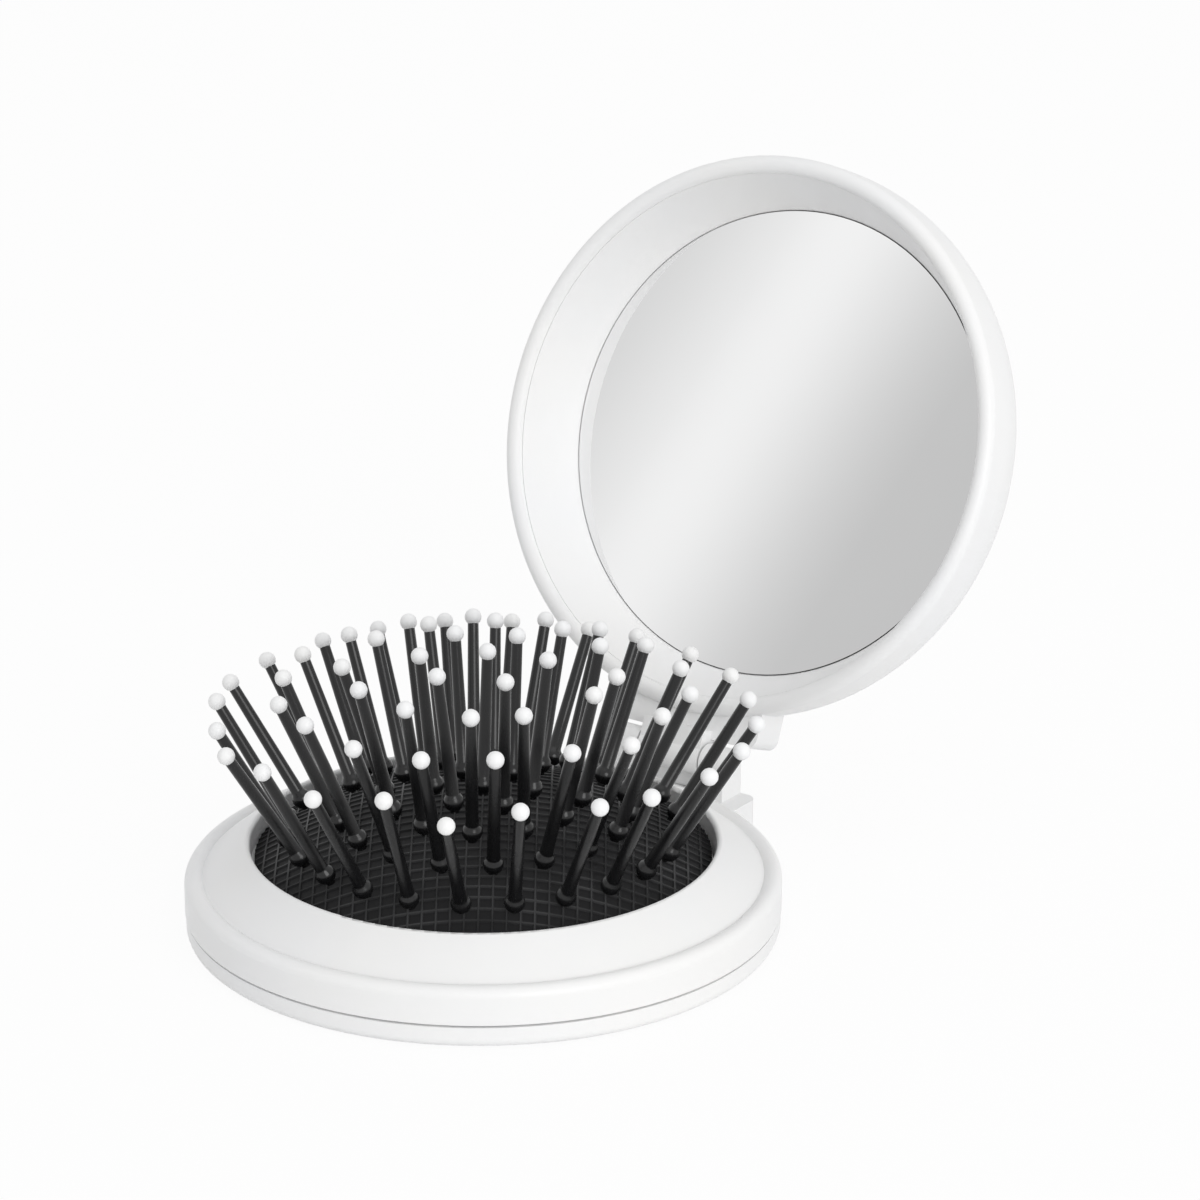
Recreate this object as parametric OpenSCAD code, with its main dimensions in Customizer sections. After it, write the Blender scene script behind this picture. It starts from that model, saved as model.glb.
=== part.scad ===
// Folding hairbrush with a mirror in its lid. Drawn open, standing on the base.
// +X along the hinge pin, +Y towards the hinge, +Z up, zero under the middle of the base.

/* [Case] */
// outside diameter of the round case
case_d = 66; // [65:0.5:67]
// height of the pad opening above the table
base_h = 10.2; // [10:0.1:10.6]
// diameter of the pad opening
opening_d = 51.6; // [51:0.2:52]
// overhang of the base's upper shell over its lower shell
ring_over = 0.1; // [0.05:0.05:0.2]
// rise from the top of the round bead to the pad opening
cone_h = 3.4; // [3.2:0.1:3.6]
// width of the round bead at the foot of the cone
bead_w = 2.3; // [2.1:0.1:2.5]
// depth of the crease between the bead and the cone
crease_h = 0.15; // [0.1:0.05:0.3]
// height of the line where the base's two shells meet
parting_z = 2.4; // [2.2:0.1:2.6]
// height of the groove where the base's two shells meet
parting_gap = 0.3; // [0.2:0.05:0.4]
// depth of that groove
groove_t = 0.5; // [0.3:0.1:0.6]
// wall of the moulded shells
wall = 1.5; // [1.4:0.05:1.6]

/* [Lid] */
// half the width of the lid's rounded rim
rim_r = 1.05; // [1:0.05:1.1]
// air between the closed lid's rim and the base
close_gap = 0.2; // [0.1:0.05:0.3]
// side of the lid that stands straight before its back curves in
lid_side = 2.8; // [2.6:0.1:3]
// radius of the lid's curved back edge
back_r = 10; // [9.8:0.1:10.4]
// distance from the lid's outside to the mirror's edge
mirror_edge = 5.4; // [5.2:0.1:5.7]
// depth of the mirror's face behind the lid's rim
mirror_depth = 7.5; // [7.3:0.1:7.5]
// thickness of the mirror
mirror_t = 1; // [0.8:0.1:1]
// thickness of the tape behind the mirror
tape_t = 0.3; // [0.2:0.05:0.3]

/* [Hinge] */
// distance of the hinge axis behind the case
hinge_gap = 5; // [4.8:0.1:5.4]
// height of the hinge axis
hinge_z = 8; // [7.9:0.05:8.1]
// diameter of the hinge knuckles
knuckle_d = 4; // [3.8:0.1:4.2]
// diameter of the hinge pin
pin_d = 1.6; // [1.4:0.1:1.8]
// half the width of the blocks that carry the hinge
block_hw = 10.3; // [9.5:0.1:11]
// half the length of the hinge barrel
barrel_hw = 7.9; // [7.5:0.1:8.3]
// half the width of the lid's own knuckle
middle_hw = 4.2; // [3.8:0.1:4.4]
// angle that the lid opens to, from closed
open_angle = 111.2; // [108:0.2:114]

/* [Brush] */
// rise of the cushion's crown above the pad opening
crown_h = 5.25; // [5:0.05:5.5]
// radius of the cushion's dome
dome_r = 50; // [48:1:52]
// thickness of the rubber membrane
skin_t = 1.3; // [1.2:0.05:1.4]
// distance from the edge of the pad opening to the outer ring of pins
pin_edge = 4; // [3.8:0.1:4.6]
// length of a pin from its root ball to its tip ball
pin_len = 15.35; // [14.5:0.05:16]
// outward lean added with each ring of pins
pin_lean = 7.7; // [7:0.1:8]
// diameter of the white ball on each pin
ball_d = 1.94; // [1.8:0.02:2.1]
// diameter of the ball at each pin's root
root_d = 2.3; // [2.1:0.1:2.4]
// radius of a pin's shaft at its root
shaft_r = 0.74; // [0.66:0.02:0.78]

/* [Hidden] */
$fn = 96;
eps = 0.01;

// clearances
run = 0.05;      // radial, pin in the lid's knuckle
hold = 0.01;     // radial, pin in the base's ears
fit = 0.1;       // between moulded pieces that stay together
guide = 0.35;    // radial, carrier in the base's collar
side = 0.3;      // between neighbours that move past each other
seat = 0.05;     // pieces that only rest on each other
bury = 0.8;      // reach of a block into the round wall that carries it

// base
case_r = case_d / 2;
ro = opening_d / 2;
lip_r = 0.4;
ring_r = case_r + ring_over;
bead_z = base_h - cone_h;
bead_r = bead_w / 2;
bead_c = [ring_r - bead_r, bead_z - bead_r];
crease_r = ring_r - bead_w;
crease_z = bead_z - crease_h;
foot_r = 1;
collar_t = 1.2;
collar_gap = 0.2;
collar_r = ro + collar_t;
skirt_in = case_r - wall;
spigot_r = skirt_in - 0.15;
spigot_t = 1.1;
spigot_z = bead_z - wall;
snap_z = spigot_z - 1.1;
snap_r = 0.25;
ring_z = parting_z + parting_gap;
floor_t = 1.4;

// the line that leaves the crease and touches the rounded lip
lip_c = [ro + lip_r, base_h - lip_r];
cone_d = norm([crease_r - lip_c[0], crease_z - lip_c[1]]);
cone_a = atan2(lip_c[1] - crease_z, lip_c[0] - crease_r) - asin(lip_r / cone_d);
lip_t = lip_c + lip_r * [cos(cone_a - 90), sin(cone_a - 90)];
slope = tan(180 - cone_a);
under_r = crease_r - wall * sin(180 - cone_a);
under_z = crease_z - wall * cos(180 - cone_a);

// brush
flange_r = ro - guide;
pad_r = ro - 0.5;
body_r = ro - 1.5;
body_in = body_r - 1.3;
skirt_r = body_in - fit;
skirt_t = 1;
clamp_r = skirt_r - skirt_t - fit;
clamp_t = 1;
keep_r = body_r + side;
keep_t = 0.7;
seat_z = base_h - 2.7;
flange_t = 0.6;
flange_z = seat_z - flange_t;
stroke = flange_z - keep_t - 0.2;
lug_r = collar_r - 0.4;
lug_w = 5.2;
lug_in = 0.1;    // the lugs' lower face lies this far above the flange's
button_z = 0.4;
button_t = 1.2;
body_z = button_z + button_t;
clip_h = 2.8;
clip_gap = 7;
dish_h = 0.5;
dish_r = 250;
skirt_z = seat_z - 2.2;
clamp_z = skirt_z - 0.2;
clamp_h = 1.9;
dome_z = base_h + crown_h - dome_r;
root_r = root_d / 2;
root_lift = root_r + seat;
neck_r = 0.55;
hole_r = 0.6;
head_r = 1.1;
head_s = -(root_lift + skin_t + head_r + 0.2);
shaft_s = 0.4;
shaft_tip_r = 0.62;
ball_r = ball_d / 2;
ball_cut = pin_len - 0.74;
shaft_end = ball_cut - 0.02;
socket_r = 0.42;
spigot_in_r = socket_r - 0.02;
spigot_len = 0.9;
ring_count = [1, 6, 12, 18, 24];
pin_pitch = (ro - pin_edge) / (len(ring_count) - 1);
ring_turn = [0, 30, 0, 10, 0];

// lid, drawn closed
hinge_y = case_r + hinge_gap;
rim_z = bead_z + close_gap + rim_r;
rim_c = [case_r - rim_r, rim_z];
lip_in = case_r - 2 * rim_r + 0.3;
lip_h = 1.35;
ledge_z = rim_z - 0.15;
lid_wall = wall - 0.1;
arc_r = case_r - back_r;
arc_z = rim_z + lid_side;
crown_z = arc_z + back_r;
frame_r = lip_in - seat;
frame_z = ledge_z + seat;
frame_side = 2.7;
mirror_r = case_r - mirror_edge;
recess_r = mirror_r + 0.15;
tray_r = recess_r + 1;
tray_edge = 0.8;
tray_step = 0.35;
mirror_z = rim_z + mirror_depth;

// the line that leaves the mirror's recess and touches the rounded rim
recess_d = norm([rim_c[0] - recess_r, mirror_z - rim_z]);
recess_a = atan2(mirror_z - rim_z, rim_c[0] - recess_r) + asin(rim_r / recess_d);
frame_in = recess_r + (mirror_z - frame_z) / tan(recess_a);

tape_z = mirror_z + mirror_t;
deck_z = tape_z + tape_t;
deck_t = 0.7;
deck_top = deck_z + deck_t;
pad_post_r = 1.6;
tape_edge = 1.6;
post_ring = 0.725 * mirror_r;
block_y = hinge_y - knuckle_d / 2 - 0.4;
block_z = rim_z + 0.2;
block_h = 5;
corner_r = 1.4;
web_t = 3.4;
plinth_z = hinge_z - 4;
plinth_y = hinge_y + knuckle_d / 2;
plinth_gap = 0.2;
block_y0 = case_r - 5;
ear_in = middle_hw + side;
pin_hl = barrel_hw - 0.2;
stop_gap = 0.1;
stop_w = knuckle_d / 2 - 0.1;

white = [0.93, 0.93, 0.93];
black = [0.06, 0.06, 0.065];
rubber = [0.12, 0.12, 0.125];
steel = [0.7, 0.71, 0.73];

// a plate with two rounded rear corners, from y0 to y1
module rear_plate(hw, y0, y1, r, h) {
    linear_extrude(height = h) {
        difference() {
            translate([-hw, y0]) square([2 * hw, y1 - y0]);
            translate([-hw - 1, y1 - r]) square([1 + r, r + 1]);
            translate([hw - r, y1 - r]) square([1 + r, r + 1]);
        }
        translate([-hw + r, y1 - r]) circle(r = r);
        translate([hw - r, y1 - r]) circle(r = r);
    }
}

module along_x(x0, x1, r) {
    translate([x0, 0, 0]) rotate([0, 90, 0]) cylinder(h = x1 - x0, r = r);
}

// ---- base ----

// slots in the base's collar, which guide and stop the carrier's lugs
module lug_slots(z0, z1) {
    for (k = [0 : 2])
        rotate([0, 0, 90 + 120 * k])
            translate([ro - 1, -lug_w / 2 - side, z0])
                cube([collar_t + 1 + fit, lug_w + 2 * side, z1 - z0]);
}

module lower_case() {
    color(white)
    difference() {
        union() {
            rotate_extrude() {
                polygon([[keep_r, 0], [case_r - foot_r, 0], [case_r - foot_r, foot_r],
                         [case_r, foot_r], [case_r, parting_z], [spigot_r, parting_z],
                         [spigot_r, spigot_z], [spigot_r - spigot_t, spigot_z],
                         [spigot_r - spigot_t, floor_t], [collar_r, floor_t],
                         [collar_r, ring_z], [ro, ring_z], [ro, keep_t], [keep_r, keep_t]]);
                translate([case_r - foot_r, foot_r]) circle(r = foot_r);
                translate([spigot_r, snap_z]) circle(r = snap_r);
            }
            difference() {
                rear_plate(block_hw, block_y0, plinth_y, corner_r, plinth_z);
                translate([0, 0, -1]) cylinder(h = parting_z + 1, r = case_r - foot_r - fit);
                translate([0, 0, parting_z]) cylinder(h = plinth_z, r = ring_r + plinth_gap);
            }
            for (s = [-1, 1]) {
                translate([s * (ear_in + barrel_hw) / 2, hinge_y, hinge_z])
                    along_x(-(barrel_hw - ear_in) / 2, (barrel_hw - ear_in) / 2, knuckle_d / 2);
                translate([s * (ear_in + barrel_hw) / 2 - (barrel_hw - ear_in) / 2,
                           hinge_y - knuckle_d / 2, plinth_z - 0.5])
                    cube([barrel_hw - ear_in, knuckle_d, hinge_z - plinth_z + 0.5]);
            }
        }
        for (s = [-1, 1])
            translate([0, hinge_y, hinge_z])
                along_x(s > 0 ? ear_in - 1 : -pin_hl, s > 0 ? pin_hl : 1 - ear_in,
                        pin_d / 2 + hold);
        lug_slots(keep_t, ring_z + 1);
    }
}

module base_ring() {
    color(white)
    difference() {
        rotate_extrude() {
            difference() {
                union() {
                    polygon([[bead_c[0], crease_z - (bead_c[0] - crease_r) * slope],
                             lip_t, lip_c, [ro, lip_c[1]],
                             [ro, ring_z + collar_gap], [collar_r, ring_z + collar_gap],
                             [collar_r, under_z + (under_r - collar_r) * slope],
                             [under_r - (spigot_z - under_z) / slope, spigot_z],
                             [skirt_in, spigot_z], [skirt_in, parting_z + seat],
                             [case_r - groove_t, parting_z + seat], [ring_r, ring_z],
                             [ring_r, bead_c[1]], bead_c]);
                    translate(lip_c) circle(r = lip_r);
                    translate(bead_c)
                        intersection() {
                            circle(r = bead_r);
                            translate([-bead_r, 0]) square([bead_w, bead_r]);
                        }
                }
                translate([skirt_in, snap_z]) circle(r = snap_r + fit);
            }
        }
        lug_slots(0, seat_z + fit);
    }
}

module hinge_pin() {
    color(steel)
    translate([0, hinge_y, hinge_z]) along_x(-pin_hl + seat, pin_hl - seat, pin_d / 2);
}

// ---- lid: each piece is drawn closed and then swung open ----

module swing() {
    translate([0, hinge_y, hinge_z]) rotate([-open_angle, 0, 0])
        translate([0, -hinge_y, -hinge_z]) children();
}

// half of the lid's back, as a profile that lies d inside the outer one: a straight side,
// an arc and the flat back
module back_profile(d, z0) {
    translate([0, z0]) square([case_r - d, arc_z - z0]);
    translate([0, arc_z]) square([arc_r, back_r - d]);
    translate([arc_r, arc_z]) intersection() {
        circle(r = back_r - d);
        square([back_r, back_r]);
    }
}

// the lid's knuckle with its web and its stop heel, in the plane across the pin
module lid_knuckle_profile() {
    difference() {
        union() {
            translate([hinge_y, hinge_z]) circle(r = knuckle_d / 2);
            translate([block_y - 1, hinge_z - web_t / 2])
                square([hinge_y - block_y + 1, web_t]);
            translate([hinge_y, hinge_z]) rotate(open_angle)
                translate([0, plinth_z + stop_gap - hinge_z])
                    square([stop_w, hinge_z - plinth_z - stop_gap]);
        }
        translate([hinge_y, hinge_z]) circle(r = pin_d / 2 + run);
    }
}

module lid_shell() {
    color(white)
    swing() union() {
        rotate_extrude() {
            difference() {
                union() {
                    back_profile(0, rim_z);
                    translate(rim_c) circle(r = rim_r);
                }
                back_profile(lid_wall, rim_z + lip_h);
                translate([-1, ledge_z]) square([lip_in + 1, rim_z - ledge_z + lip_h + eps]);
            }
        }
        translate([0, 0, block_z])
            difference() {
                rear_plate(block_hw, block_y0, block_y, corner_r, block_h);
                translate([0, 0, -1]) cylinder(h = block_h + 2, r = case_r - bury);
            }
        translate([-middle_hw, 0, 0]) rotate([90, 0, 90])
            linear_extrude(height = 2 * middle_hw) lid_knuckle_profile();
        for (k = [0 : 5])
            rotate([0, 0, 60 * k])
                translate([post_ring, 0, deck_top])
                    cylinder(h = crown_z - lid_wall - deck_top + 0.1, r = pad_post_r);
    }
}

module mirror_frame() {
    color(white)
    swing() rotate_extrude()
        polygon([[frame_in, frame_z], [frame_r, frame_z],
                 [frame_r, frame_z + frame_side], [tray_r, mirror_z + tray_step],
                 [tray_r, deck_top - tray_edge], [tray_r - tray_edge, deck_top],
                 [0, deck_top], [0, deck_z], [recess_r, deck_z], [recess_r, mirror_z]]);
}

module mirror() {
    color([0.85, 0.87, 0.88])
    swing() translate([0, 0, mirror_z]) cylinder(h = mirror_t, r = mirror_r);
}

module mirror_tape() {
    color([0.3, 0.3, 0.3])
    swing() translate([0, 0, tape_z]) cylinder(h = tape_t, r = mirror_r - tape_edge);
}

// ---- brush: slides down into the base while the lid closes ----

module brush_carrier() {
    color(white) {
        rotate_extrude()
            polygon([[body_in, body_z], [body_r, body_z], [body_r, flange_z],
                     [flange_r, flange_z], [flange_r, seat_z], [body_in, seat_z]]);
        for (k = [0 : 2])
            rotate([0, 0, 90 + 120 * k])
                translate([body_r - bury, -lug_w / 2, flange_z + lug_in])
                    cube([lug_r - body_r + bury, lug_w, flange_t - lug_in]);
    }
}

module push_button() {
    color(white) {
        rotate_extrude() difference() {
            translate([0, button_z]) square([body_r, button_t]);
            translate([0, button_z + dish_h - dish_r]) circle(r = dish_r, $fn = 720);
        }
        difference() {
            translate([0, 0, body_z - eps]) cylinder(h = clip_h, r = skirt_r);
            translate([0, 0, body_z - 1]) cylinder(h = clip_h + 2, r = skirt_r - skirt_t);
            for (k = [0 : 5])
                rotate([0, 0, 60 * k + 30])
                    translate([skirt_r - 4, -clip_gap / 2, body_z])
                        cube([6, clip_gap, clip_h + 1]);
        }
    }
}

module cushion_ring() {
    color(white)
    translate([0, 0, clamp_z]) difference() {
        cylinder(h = clamp_h, r = clamp_r);
        translate([0, 0, -1]) cylinder(h = clamp_h + 2, r = clamp_r - clamp_t);
    }
}

// where the pins of ring k stand, with the middle of the root ball at zero
module at_ring(k) {
    rb = pin_pitch * k;
    zb = dome_z + sqrt(pow(dome_r + root_lift, 2) - rb * rb);
    for (i = [0 : ring_count[k] - 1])
        rotate([0, 0, ring_turn[k] + 360 / ring_count[k] * i])
            translate([rb, 0, zb]) rotate([0, pin_lean * k, 0]) children();
}

module cushion() {
    color(rubber)
    difference() {
        union() {
            intersection() {
                translate([0, 0, dome_z]) sphere(r = dome_r);
                translate([0, 0, seat_z]) cylinder(h = 20, r = pad_r);
            }
            translate([0, 0, skirt_z]) cylinder(h = seat_z - skirt_z + eps, r = skirt_r);
        }
        intersection() {
            translate([0, 0, dome_z]) sphere(r = dome_r - skin_t);
            translate([0, 0, skirt_z - 1]) cylinder(h = 20, r = skirt_r - skirt_t);
        }
        for (k = [0 : 4])
            at_ring(k) translate([0, 0, -root_lift - skin_t - 1])
                cylinder(h = root_lift + skin_t + 1, r = hole_r);
    }
}

module one_pin() {
    rotate_extrude() intersection() {
        union() {
            translate([0, head_s]) circle(r = head_r);
            translate([0, head_s]) square([neck_r, -head_s]);
            circle(r = root_r);
            polygon([[0, 0], [shaft_r, shaft_s], [shaft_tip_r, shaft_end], [0, shaft_end]]);
            translate([0, shaft_end - 1]) square([spigot_in_r, 1 + spigot_len]);
        }
        translate([0, 2 * head_s]) square([root_d, pin_len - 2 * head_s + root_d]);
    }
}

module one_tip() {
    rotate_extrude() difference() {
        intersection() {
            translate([0, pin_len]) circle(r = ball_r);
            translate([0, ball_cut]) square(2 * ball_d);
        }
        translate([-1, ball_cut - 1]) square([1 + socket_r, 1 + spigot_len + 0.05]);
    }
}

module pins(k) {
    color(black) at_ring(k) one_pin();
}

module tips(k) {
    color(white) at_ring(k) one_tip();
}

module pin_centre() { pins(0); }
module pins_ring_1() { pins(1); }
module pins_ring_2() { pins(2); }
module pins_ring_3() { pins(3); }
module pins_ring_4() { pins(4); }
module tip_centre() { tips(0); }
module tips_ring_1() { tips(1); }
module tips_ring_2() { tips(2); }
module tips_ring_3() { tips(3); }
module tips_ring_4() { tips(4); }

lower_case();
base_ring();
hinge_pin();
lid_shell();
mirror_frame();
mirror();
mirror_tape();
brush_carrier();
push_button();
cushion_ring();
cushion();
pin_centre();
pins_ring_1();
pins_ring_2();
pins_ring_3();
pins_ring_4();
tip_centre();
tips_ring_1();
tips_ring_2();
tips_ring_3();
tips_ring_4();
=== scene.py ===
import math
import random

import bmesh
import bpy
from mathutils import Matrix, Vector


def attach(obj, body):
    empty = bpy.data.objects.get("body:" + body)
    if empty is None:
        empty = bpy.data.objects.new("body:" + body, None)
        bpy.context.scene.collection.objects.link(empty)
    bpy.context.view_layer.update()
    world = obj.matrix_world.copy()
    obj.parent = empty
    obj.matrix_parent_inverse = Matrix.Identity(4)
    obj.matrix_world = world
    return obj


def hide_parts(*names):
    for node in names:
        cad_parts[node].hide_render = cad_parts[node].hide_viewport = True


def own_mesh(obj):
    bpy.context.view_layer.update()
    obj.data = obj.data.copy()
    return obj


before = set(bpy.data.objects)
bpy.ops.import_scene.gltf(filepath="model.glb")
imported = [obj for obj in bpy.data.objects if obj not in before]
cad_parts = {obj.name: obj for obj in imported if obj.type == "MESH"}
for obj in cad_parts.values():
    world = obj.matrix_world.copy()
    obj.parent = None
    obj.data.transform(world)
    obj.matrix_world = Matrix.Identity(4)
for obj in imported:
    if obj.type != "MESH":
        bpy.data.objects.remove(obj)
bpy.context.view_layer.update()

MM = 0.001

# sizes repeated from the part
PAD_EDGE = 25.3 * MM
PAD_SEAT = 7.5 * MM
SKIRT_OUT = 22.9 * MM
SKIRT_IN = 21.9 * MM
SKIRT_END = 5.3 * MM
DOME_R = 50 * MM
DOME_Z = -34.55 * MM
SKIN = 1.3 * MM
PIN_PITCH = 5.45 * MM
PIN_LEAN = math.radians(7.7)
PIN_SWAY = math.radians(2.0)
PIN_LENGTH = 15.35 * MM
ROOT_R = 1.15 * MM
ROOT_LIFT = 1.1 * MM
BALL_R = 0.97 * MM
BALL_CUT = 14.61 * MM
HEAD_R = 1.1 * MM
HEAD_Z = -3.8 * MM
NECK_R = 0.55 * MM
SPIGOT_R = 0.4 * MM
SPIGOT_END = 15.49 * MM
SOCKET_R = 0.42 * MM
SOCKET_END = 15.56 * MM
# the shaft's radius and height above the root ball's middle, in millimetres
SHAFT_LINE = ((0.735, 1.05), (0.7, 5.3), (0.66, 10), (0.62, 14.59))
RING_COUNTS = (1, 6, 12, 18, 24)
RING_TURNS = (0, 30, 0, 10, 0)

# the pad's moulded lattice
LATTICE_PITCH = 1.5 * MM
LATTICE_CREST = 0.12 * MM
LATTICE_SLOPE = 0.08 * MM
LATTICE_DEPTH = 0.16 * MM
LATTICE_TURN = math.radians(34.8)
PAD_SIDES = 120
UNDERSIDE_RADII = (17, 12, 7, 3)

TURNED_STEPS = 16
SHARP_ANGLE = math.radians(32)
SWAY_SEED = 11


# ---- materials ----


class Finish:
    """One node material, with the surface's own coordinates as its start."""

    def __init__(self, name, colour, roughness, metallic=0.0):
        self.material = bpy.data.materials.new(name)
        self.material.use_nodes = True
        self.tree = self.material.node_tree
        self.shader = self.tree.nodes["Principled BSDF"]
        self.shader.inputs["Base Color"].default_value = (*colour, 1)
        self.shader.inputs["Roughness"].default_value = roughness
        self.shader.inputs["Metallic"].default_value = metallic
        self.place = self.node("ShaderNodeTexCoord").outputs["Object"]

    def node(self, kind, **settings):
        made = self.tree.nodes.new(kind)
        for key, value in settings.items():
            setattr(made, key, value)
        return made

    def link(self, start, end):
        self.tree.links.new(start, end)

    def stretched(self, scale, turn=(0, 0, 0)):
        mapping = self.node("ShaderNodeMapping")
        mapping.inputs["Scale"].default_value = scale
        mapping.inputs["Rotation"].default_value = turn
        self.link(self.place, mapping.inputs["Vector"])
        return mapping.outputs["Vector"]

    def noise(self, scale, detail=3.0, vector=None):
        noise = self.node("ShaderNodeTexNoise")
        noise.inputs["Scale"].default_value = scale
        noise.inputs["Detail"].default_value = detail
        self.link(vector or self.place, noise.inputs["Vector"])
        return noise.outputs["Fac"]

    def spread(self, value, low, high, start=0.3, end=0.7):
        """Maps a noise value between start and end to the range from low to high."""
        ramp = self.node("ShaderNodeMapRange")
        for key, number in (
            ("From Min", start),
            ("From Max", end),
            ("To Min", low),
            ("To Max", high),
        ):
            ramp.inputs[key].default_value = number
        self.link(value, ramp.inputs["Value"])
        return ramp.outputs["Result"]

    def tinted(self, value, first, second):
        mix = self.node("ShaderNodeMix", data_type="RGBA")
        mix.inputs["A"].default_value = (*first, 1)
        mix.inputs["B"].default_value = (*second, 1)
        self.link(value, mix.inputs["Factor"])
        self.link(mix.outputs["Result"], self.shader.inputs["Base Color"])

    def rough(self, value):
        self.link(value, self.shader.inputs["Roughness"])

    def bumped(self, height, distance, strength=1.0):
        bump = self.node("ShaderNodeBump")
        bump.inputs["Distance"].default_value = distance
        bump.inputs["Strength"].default_value = strength
        self.link(height, bump.inputs["Height"])
        self.link(bump.outputs["Normal"], self.shader.inputs["Normal"])


def white_plastic(name, tone, scuffs=True):
    """Satin white moulded plastic: a faint unevenness of tone, fine texture and light scuffs."""
    finish = Finish(name, (tone, tone, tone), 0.36)
    cool = (tone * 0.985, tone * 0.99, tone)
    warm = (tone, tone * 0.998, tone * 0.99)
    finish.tinted(finish.spread(finish.noise(45), 0, 1), cool, warm)
    if scuffs:
        streak = finish.noise(260, 4, finish.stretched((1, 0.12, 0.5), (0.3, 0.2, 0.9)))
        finish.rough(finish.spread(streak, 0.33, 0.42, 0.35, 0.75))
    finish.bumped(finish.noise(5200, 2), 0.000012, 0.5)
    finish.shader.inputs["IOR"].default_value = 1.49
    finish.shader.inputs["Specular IOR Level"].default_value = 0.3
    return finish.material


def pad_rubber():
    """Black rubber: matt in the lattice's cells; its crests smoother, and painted lighter as a
    highlight that varies at random along them.
    """
    finish = Finish("pad_rubber", (0.008, 0.008, 0.0085), 0.55)
    finish.shader.inputs["Specular IOR Level"].default_value = 0.15
    crest = lattice_crest(finish)
    # crest mask varied at random: it lowers the crests' roughness and is also a painted highlight
    crest_polish_and_painted_highlight = finish.node("ShaderNodeMath", operation="MULTIPLY")
    finish.link(crest, crest_polish_and_painted_highlight.inputs[0])
    finish.link(finish.spread(finish.noise(95, 5), 0.05, 1.0, 0.4, 0.62), crest_polish_and_painted_highlight.inputs[1])
    # painted highlight: the crests' lighter grey stands in for light caught on the raised lines
    finish.tinted(crest_polish_and_painted_highlight.outputs[0], (0.004, 0.004, 0.0045), (0.036, 0.036, 0.037))
    finish.rough(finish.spread(crest_polish_and_painted_highlight.outputs[0], 0.58, 0.4, 0.0, 1.0))
    finish.bumped(finish.noise(3800, 3), 0.00003, 0.6)
    return finish.material


def lattice_crest(finish):
    """1 on the lattice's raised lines and 0 in its cells, from the same pitch and turn."""
    turned = finish.node("ShaderNodeVectorRotate", rotation_type="Z_AXIS")
    turned.inputs["Angle"].default_value = -LATTICE_TURN
    finish.link(finish.place, turned.inputs["Vector"])
    axes = finish.node("ShaderNodeSeparateXYZ")
    finish.link(turned.outputs["Vector"], axes.inputs["Vector"])
    away = []
    for axis in ("X", "Y"):
        nearest = finish.node("ShaderNodeMath", operation="PINGPONG")
        nearest.inputs[1].default_value = LATTICE_PITCH / 2
        finish.link(axes.outputs[axis], nearest.inputs[0])
        away.append(nearest.outputs[0])
    closest = finish.node("ShaderNodeMath", operation="MINIMUM")
    finish.link(away[0], closest.inputs[0])
    finish.link(away[1], closest.inputs[1])
    edge = LATTICE_CREST + LATTICE_SLOPE
    return finish.spread(closest.outputs[0], 1.0, 0.0, 0.6 * LATTICE_CREST, edge)


def pin_nylon():
    """Black nylon of the pins: half gloss, with faint flow lines along each pin."""
    finish = Finish("pin_nylon", (0.006, 0.006, 0.0065), 0.24)
    finish.shader.inputs["Specular IOR Level"].default_value = 0.4
    flow = finish.noise(420, 3, finish.stretched((1, 1, 0.12)))
    finish.rough(finish.spread(flow, 0.17, 0.32))
    finish.tinted(
        finish.spread(finish.noise(90), 0, 1), (0.005, 0.005, 0.0055), (0.009, 0.009, 0.0095)
    )
    finish.bumped(finish.noise(2600, 2), 0.00001, 0.4)
    return finish.material


def mirror_glass():
    """Silvered glass, with the faintest haze of handling."""
    finish = Finish("mirror_silver", (0.905, 0.906, 0.907), 0.01, 1.0)
    haze = finish.noise(38, 5)
    finish.rough(finish.spread(haze, 0.0, 0.035, 0.5, 0.9))
    finish.tinted(finish.spread(haze, 0, 1), (0.908, 0.909, 0.91), (0.893, 0.894, 0.895))
    return finish.material


def foam_tape():
    """Dark foam tape: open cells on a matt face."""
    finish = Finish("tape_foam", (0.05, 0.05, 0.052), 0.9)
    cells = finish.node("ShaderNodeTexVoronoi", feature="SMOOTH_F1")
    cells.inputs["Scale"].default_value = 3200
    finish.link(finish.place, cells.inputs["Vector"])
    height = cells.outputs["Distance"]
    finish.tinted(finish.spread(height, 0, 1, 0.1, 0.6), (0.07, 0.07, 0.072), (0.03, 0.03, 0.031))
    finish.bumped(height, 0.00008, 0.8)
    return finish.material


def drawn_steel():
    """Bright steel wire with drawing lines along the pin."""
    finish = Finish("pin_steel", (0.6, 0.61, 0.63), 0.25, 1.0)
    lines = finish.noise(2400, 3, finish.stretched((0.03, 1, 1)))
    finish.rough(finish.spread(lines, 0.18, 0.36))
    finish.bumped(lines, 0.000006, 0.5)
    return finish.material


SHELL = white_plastic("shell_plastic", 0.84)
TIP = white_plastic("tip_plastic", 0.86, scuffs=False)
PAD = pad_rubber()
PIN = pin_nylon()
MIRROR = mirror_glass()
TAPE = foam_tape()
STEEL = drawn_steel()


def dress(node, material):
    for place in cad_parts[node].material_slots:
        place.material = material


for shell in (
    "lower_case",
    "base_ring",
    "lid_shell",
    "mirror_frame",
    "brush_carrier",
    "push_button",
    "cushion_ring",
):
    dress(shell, SHELL)
dress("mirror", MIRROR)
dress("mirror_tape", TAPE)
dress("hinge_pin", STEEL)


# ---- the brush ----


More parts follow.
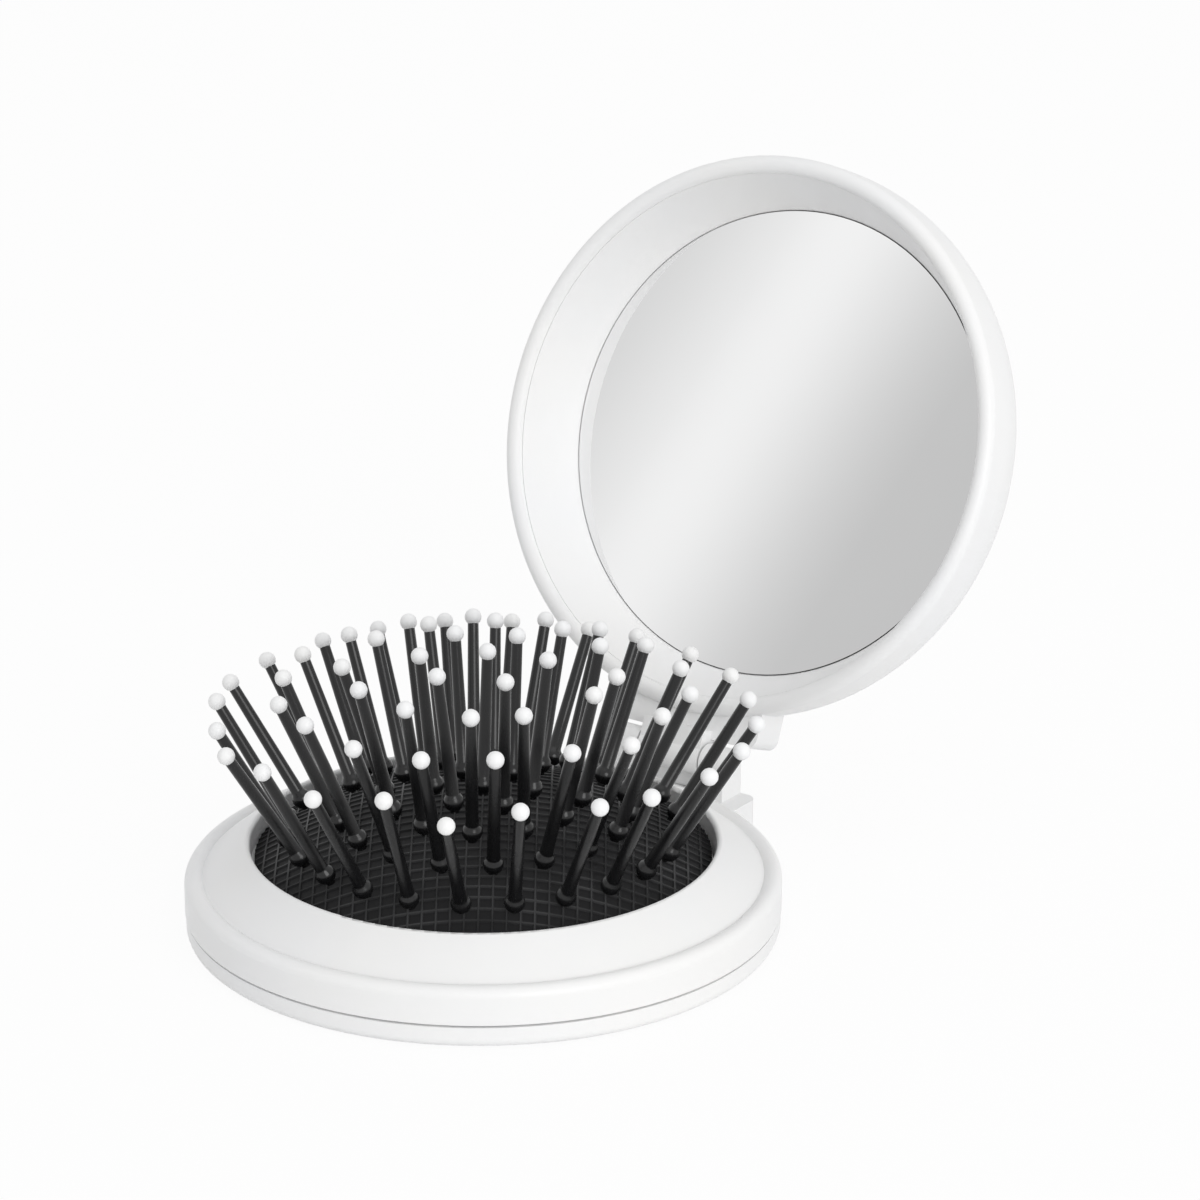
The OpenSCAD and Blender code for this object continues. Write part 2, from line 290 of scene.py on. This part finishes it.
def finished(form, name, material, body):
    """Makes a piece of a finished bmesh, smooth except at its sharp edges."""
    bmesh.ops.recalc_face_normals(form, faces=form.faces)
    for face in form.faces:
        face.smooth = True
    for edge in form.edges:
        edge.smooth = edge.calc_face_angle(0) < SHARP_ANGLE
    mesh = bpy.data.meshes.new(name)
    form.to_mesh(mesh)
    form.free()
    mesh.materials.append(material)
    piece = bpy.data.objects.new(name, mesh)
    bpy.context.collection.objects.link(piece)
    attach(piece, body)
    return piece


def dome_height(radius, sphere):
    return DOME_Z + math.sqrt(sphere * sphere - radius * radius)


def lattice_pad():
    """The rubber membrane: a domed lattice, its rim, its skirt and its hollow underside."""
    form = bmesh.new()
    cells = 2 * math.ceil(PAD_EDGE / LATTICE_PITCH)
    bmesh.ops.create_grid(
        form, x_segments=cells, y_segments=cells, size=cells * LATTICE_PITCH / 2
    )
    bmesh.ops.inset_individual(form, faces=form.faces[:], thickness=LATTICE_CREST)
    inner = [f for f in form.faces if f.calc_area() > (0.8 * LATTICE_PITCH) ** 2]
    bmesh.ops.inset_individual(
        form, faces=inner, thickness=LATTICE_SLOPE, depth=-LATTICE_DEPTH
    )
    bmesh.ops.rotate(
        form, verts=form.verts, cent=(0, 0, 0), matrix=Matrix.Rotation(LATTICE_TURN, 3, "Z")
    )
    for k in range(PAD_SIDES):
        angle = 2 * math.pi * k / PAD_SIDES
        out = Vector((math.cos(angle), math.sin(angle), 0))
        bmesh.ops.bisect_plane(
            form,
            geom=form.verts[:] + form.edges[:] + form.faces[:],
            plane_co=out * PAD_EDGE,
            plane_no=out,
            clear_outer=True,
        )
    for vert in form.verts:
        radius = math.hypot(vert.co.x, vert.co.y)
        vert.co.z = dome_height(radius, DOME_R + vert.co.z)
    turn_under(form)
    return finished(form, "pad_membrane", PAD, "brush")


def turn_under(form):
    """Carries the membrane's open edge down, in to the skirt and back under the dome."""
    under = DOME_R - SKIN
    path = [
        (PAD_EDGE, PAD_SEAT),
        (SKIRT_OUT, PAD_SEAT),
        (SKIRT_OUT, SKIRT_END),
        (SKIRT_IN, SKIRT_END),
        (SKIRT_IN, dome_height(SKIRT_IN, under)),
    ]
    path += [(r * MM, dome_height(r * MM, under)) for r in UNDERSIDE_RADII]
    rim = [e for e in form.edges if e.is_boundary]
    for radius, height in path:
        made = bmesh.ops.extrude_edge_only(form, edges=rim)["geom"]
        rim = [e for e in made if isinstance(e, bmesh.types.BMEdge) and e.is_boundary]
        for vert in {v for e in rim for v in e.verts}:
            flat = Vector((vert.co.x, vert.co.y)).normalized() * radius
            vert.co = (flat.x, flat.y, height)
    bmesh.ops.contextual_create(form, geom=rim)


def arc(centre, radius, start, end, steps):
    """Points of a circle on the axis, as (radius, height), from one angle to another."""
    points = []
    for k in range(steps + 1):
        angle = math.radians(start + (end - start) * k / steps)
        points.append((radius * math.cos(angle), centre + radius * math.sin(angle)))
    return points


def turned(profile, place):
    """A closed solid: the profile turned about the Z axis and put in its place."""
    form = bmesh.new()
    points = [form.verts.new((max(r, 0), 0, z)) for r, z in profile]
    edges = [form.edges.new(pair) for pair in zip(points, points[1:])]
    bmesh.ops.spin(
        form,
        geom=points + edges,
        cent=(0, 0, 0),
        axis=(0, 0, 1),
        angle=2 * math.pi,
        steps=TURNED_STEPS,
        use_merge=True,
    )
    bmesh.ops.remove_doubles(form, verts=form.verts, dist=1e-7)
    form.transform(place)
    return form


# each as (radius, height) from the root ball's middle, which is zero
PIN_PROFILE = (
    arc(HEAD_Z, HEAD_R, -90, 60, 6)
    + [(NECK_R, -1.3 * MM)]
    + arc(0, ROOT_R, -61, 46, 7)
    + [(r * MM, z * MM) for r, z in SHAFT_LINE]
    + [(SPIGOT_R, SHAFT_LINE[-1][1] * MM), (SPIGOT_R, SPIGOT_END), (0, SPIGOT_END)]
)
TIP_PROFILE = (
    [(0, SOCKET_END), (SOCKET_R, SOCKET_END), (SOCKET_R, BALL_CUT)]
    + arc(PIN_LENGTH, BALL_R, -49.7, 90, 8)
)


def brush_pins():
    """Every pin with its tip; they stand a little unevenly in the soft rubber."""
    chance = random.Random(SWAY_SEED)
    for ring, count in enumerate(RING_COUNTS):
        radius = ring * PIN_PITCH
        height = dome_height(radius, DOME_R + ROOT_LIFT)
        for k in range(count):
            turn = math.radians(RING_TURNS[ring] + 360 / count * k)
            place = (
                Matrix.Rotation(turn, 4, "Z")
                @ Matrix.Translation((radius, 0, height))
                @ Matrix.Rotation(PIN_LEAN * ring, 4, "Y")
                @ Matrix.Rotation(chance.gauss(0, PIN_SWAY), 4, "X")
                @ Matrix.Rotation(chance.gauss(0, PIN_SWAY), 4, "Y")
            )
            number = f"{ring}_{k + 1:02d}"
            pin = finished(turned(PIN_PROFILE, place), f"pin_{number}", PIN, "brush")
            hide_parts(f"pins_ring_{ring}" if ring else "pin_centre")
            tip = finished(turned(TIP_PROFILE, place), f"tip_{number}", TIP, "brush")
            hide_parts(f"tips_ring_{ring}" if ring else "tip_centre")
            for piece in (pin, tip):
                # the mirror shows a clean sheen, without the pins
                piece.visible_glossy = False
                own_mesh(piece)


pad = lattice_pad()
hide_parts("cushion")
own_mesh(pad)
brush_pins()


# ---- studio ----

WHITE = 1.0
SKY_ON_OBJECT = 0.71
FLOOR_TONE = 0.86
FLOOR_GLOW = 0.93
FLOOR_SIZE = 6.0
FLOOR_DROP = 0.1 * MM

# each as name, place, what it looks at, diameter and watts
LAMPS = (
    ("key_lamp", (1.0, -0.55, 0.45), (0, 0.02, 0.03), 0.8, 6.2),
    ("top_lamp", (0.1, 0.1, 0.95), (0, 0.02, 0.02), 0.9, 0.9),
)

# grey levels across the card, as the mirror shows them from its left side to its right side
CARD_STOPS = (
    (0.0, 0.70),
    (0.32, 0.73),
    (0.40, 0.92),
    (0.45, 1.0),
    (0.50, 0.91),
    (0.56, 0.72),
    (0.62, 0.60),
    (1.0, 0.56),
)
CARD_CENTRE = (-0.2553, -0.3406, 0.1998)
CARD_TARGET = (0, 0.0588, 0.0407)
CARD_SIZE = 0.24
CARD_TILT = math.radians(-9.0)

CAMERA_PLACE = (0.2729, -0.3701, 0.2030)
CAMERA_RIGHT = (0.82038, 0.57181, 0.00325)
CAMERA_AHEAD = (-0.53731, 0.77281, -0.33773)
CAMERA_LENS = 135


def floor_finish():
    """Diffuse, but most of it glows white to the camera, glossy and transmitted rays."""
    material = bpy.data.materials.new("floor_white")
    material.use_nodes = True
    tree = material.node_tree
    diffuse = tree.nodes["Principled BSDF"]
    diffuse.inputs["Base Color"].default_value = (FLOOR_TONE, FLOOR_TONE, FLOOR_TONE, 1)
    diffuse.inputs["Roughness"].default_value = 0.9
    diffuse.inputs["Specular IOR Level"].default_value = 0.0
    glow = tree.nodes.new("ShaderNodeEmission")
    glow.inputs["Strength"].default_value = WHITE
    share = tree.nodes.new("ShaderNodeMath")
    share.operation = "MULTIPLY"
    share.inputs[1].default_value = FLOOR_GLOW
    tree.links.new(seen_directly(tree), share.inputs[0])
    mix = tree.nodes.new("ShaderNodeMixShader")
    tree.links.new(share.outputs[0], mix.inputs["Fac"])
    tree.links.new(diffuse.outputs[0], mix.inputs[1])
    tree.links.new(glow.outputs[0], mix.inputs[2])
    output = tree.nodes["Material Output"]
    tree.links.new(mix.outputs[0], output.inputs["Surface"])
    return material


def seen_directly(tree):
    """1 for a camera, glossy or transmitted ray, otherwise 0."""
    path = tree.nodes.new("ShaderNodeLightPath")
    first = tree.nodes.new("ShaderNodeMath")
    first.operation = "MAXIMUM"
    tree.links.new(path.outputs["Is Camera Ray"], first.inputs[0])
    tree.links.new(path.outputs["Is Glossy Ray"], first.inputs[1])
    second = tree.nodes.new("ShaderNodeMath")
    second.operation = "MAXIMUM"
    tree.links.new(first.outputs[0], second.inputs[0])
    tree.links.new(path.outputs["Is Transmission Ray"], second.inputs[1])
    return second.outputs[0]


def stage_sheet(name, size, place, material):
    form = bmesh.new()
    bmesh.ops.create_grid(form, x_segments=2, y_segments=2, size=size / 2)
    form.transform(place)
    mesh = bpy.data.meshes.new(name)
    form.to_mesh(mesh)
    form.free()
    mesh.materials.append(material)
    sheet = bpy.data.objects.new(name, mesh)
    bpy.context.collection.objects.link(sheet)
    return sheet


def facing(centre, target):
    """A place at centre whose own -Z looks at target, as a lamp and a camera do."""
    centre, target = Vector(centre), Vector(target)
    turn = (target - centre).to_track_quat("-Z", "Y").to_matrix().to_4x4()
    return Matrix.Translation(centre) @ turn


def card_finish():
    """The card that the mirror looks at: a bright band between a mid grey and a light grey."""
    material = bpy.data.materials.new("mirror_card")
    material.use_nodes = True
    tree = material.node_tree
    tree.nodes.remove(tree.nodes["Principled BSDF"])
    place = tree.nodes.new("ShaderNodeTexCoord")
    axis = tree.nodes.new("ShaderNodeVectorMath")
    axis.operation = "DOT_PRODUCT"
    tree.links.new(place.outputs["UV"], axis.inputs[0])
    axis.inputs[1].default_value = (1, 0, 0)
    ramp = tree.nodes.new("ShaderNodeValToRGB")
    ramp.color_ramp.interpolation = "B_SPLINE"
    stops = ramp.color_ramp.elements
    while len(stops) < len(CARD_STOPS):
        stops.new(0.5)
    for stop, (position, grey) in zip(stops, CARD_STOPS):
        stop.position = position
        stop.color = (grey, grey, grey, 1)
    glow = tree.nodes.new("ShaderNodeEmission")
    tree.links.new(axis.outputs["Value"], ramp.inputs["Fac"])
    tree.links.new(ramp.outputs["Color"], glow.inputs["Color"])
    tree.links.new(glow.outputs[0], tree.nodes["Material Output"].inputs["Surface"])
    return material


def mirror_card():
    place = facing(CARD_CENTRE, CARD_TARGET) @ Matrix.Rotation(CARD_TILT, 4, "Z")
    sheet = stage_sheet("mirror_card", CARD_SIZE, Matrix.Identity(4), card_finish())
    layer = sheet.data.uv_layers.new(name="card")
    for loop in sheet.data.loops:
        co = sheet.data.vertices[loop.vertex_index].co
        layer.data[loop.index].uv = (co.x / CARD_SIZE + 0.5, co.y / CARD_SIZE + 0.5)
    sheet.data.transform(place)
    sheet.visible_camera = False
    sheet.visible_diffuse = False
    sheet.visible_shadow = False
    sheet.visible_transmission = False


def soft_lamp(name, centre, target, size, watts):
    data = bpy.data.lights.new(name, "AREA")
    data.shape = "DISK"
    data.size = size
    data.energy = watts
    lamp = bpy.data.objects.new(name, data)
    lamp.matrix_world = facing(centre, target)
    bpy.context.collection.objects.link(lamp)


def studio():
    stage_sheet("floor", FLOOR_SIZE, Matrix.Translation((0, 0, -FLOOR_DROP)), floor_finish())
    mirror_card()
    for lamp in LAMPS:
        soft_lamp(*lamp)
    world = bpy.data.worlds.new("studio")
    bpy.context.scene.world = world
    world.use_nodes = True
    tree = world.node_tree
    sky = tree.nodes["Background"]
    sky.inputs["Color"].default_value = (1, 1, 1, 1)
    level = tree.nodes.new("ShaderNodeMapRange")
    level.inputs["To Min"].default_value = SKY_ON_OBJECT
    level.inputs["To Max"].default_value = WHITE
    tree.links.new(seen_directly(tree), level.inputs["Value"])
    tree.links.new(level.outputs["Result"], sky.inputs["Strength"])


def photo_camera():
    data = bpy.data.cameras.new("camera")
    data.lens = CAMERA_LENS
    data.sensor_width = 36
    data.clip_start = 0.01
    camera = bpy.data.objects.new("camera", data)
    right = Vector(CAMERA_RIGHT).normalized()
    ahead = Vector(CAMERA_AHEAD).normalized()
    up = right.cross(ahead).normalized()
    right = ahead.cross(up)
    turn = Matrix((right, up, -ahead)).transposed().to_4x4()
    camera.matrix_world = Matrix.Translation(CAMERA_PLACE) @ turn
    bpy.context.collection.objects.link(camera)
    bpy.context.scene.camera = camera


studio()
photo_camera()
bpy.context.scene.view_settings.view_transform = "Standard"
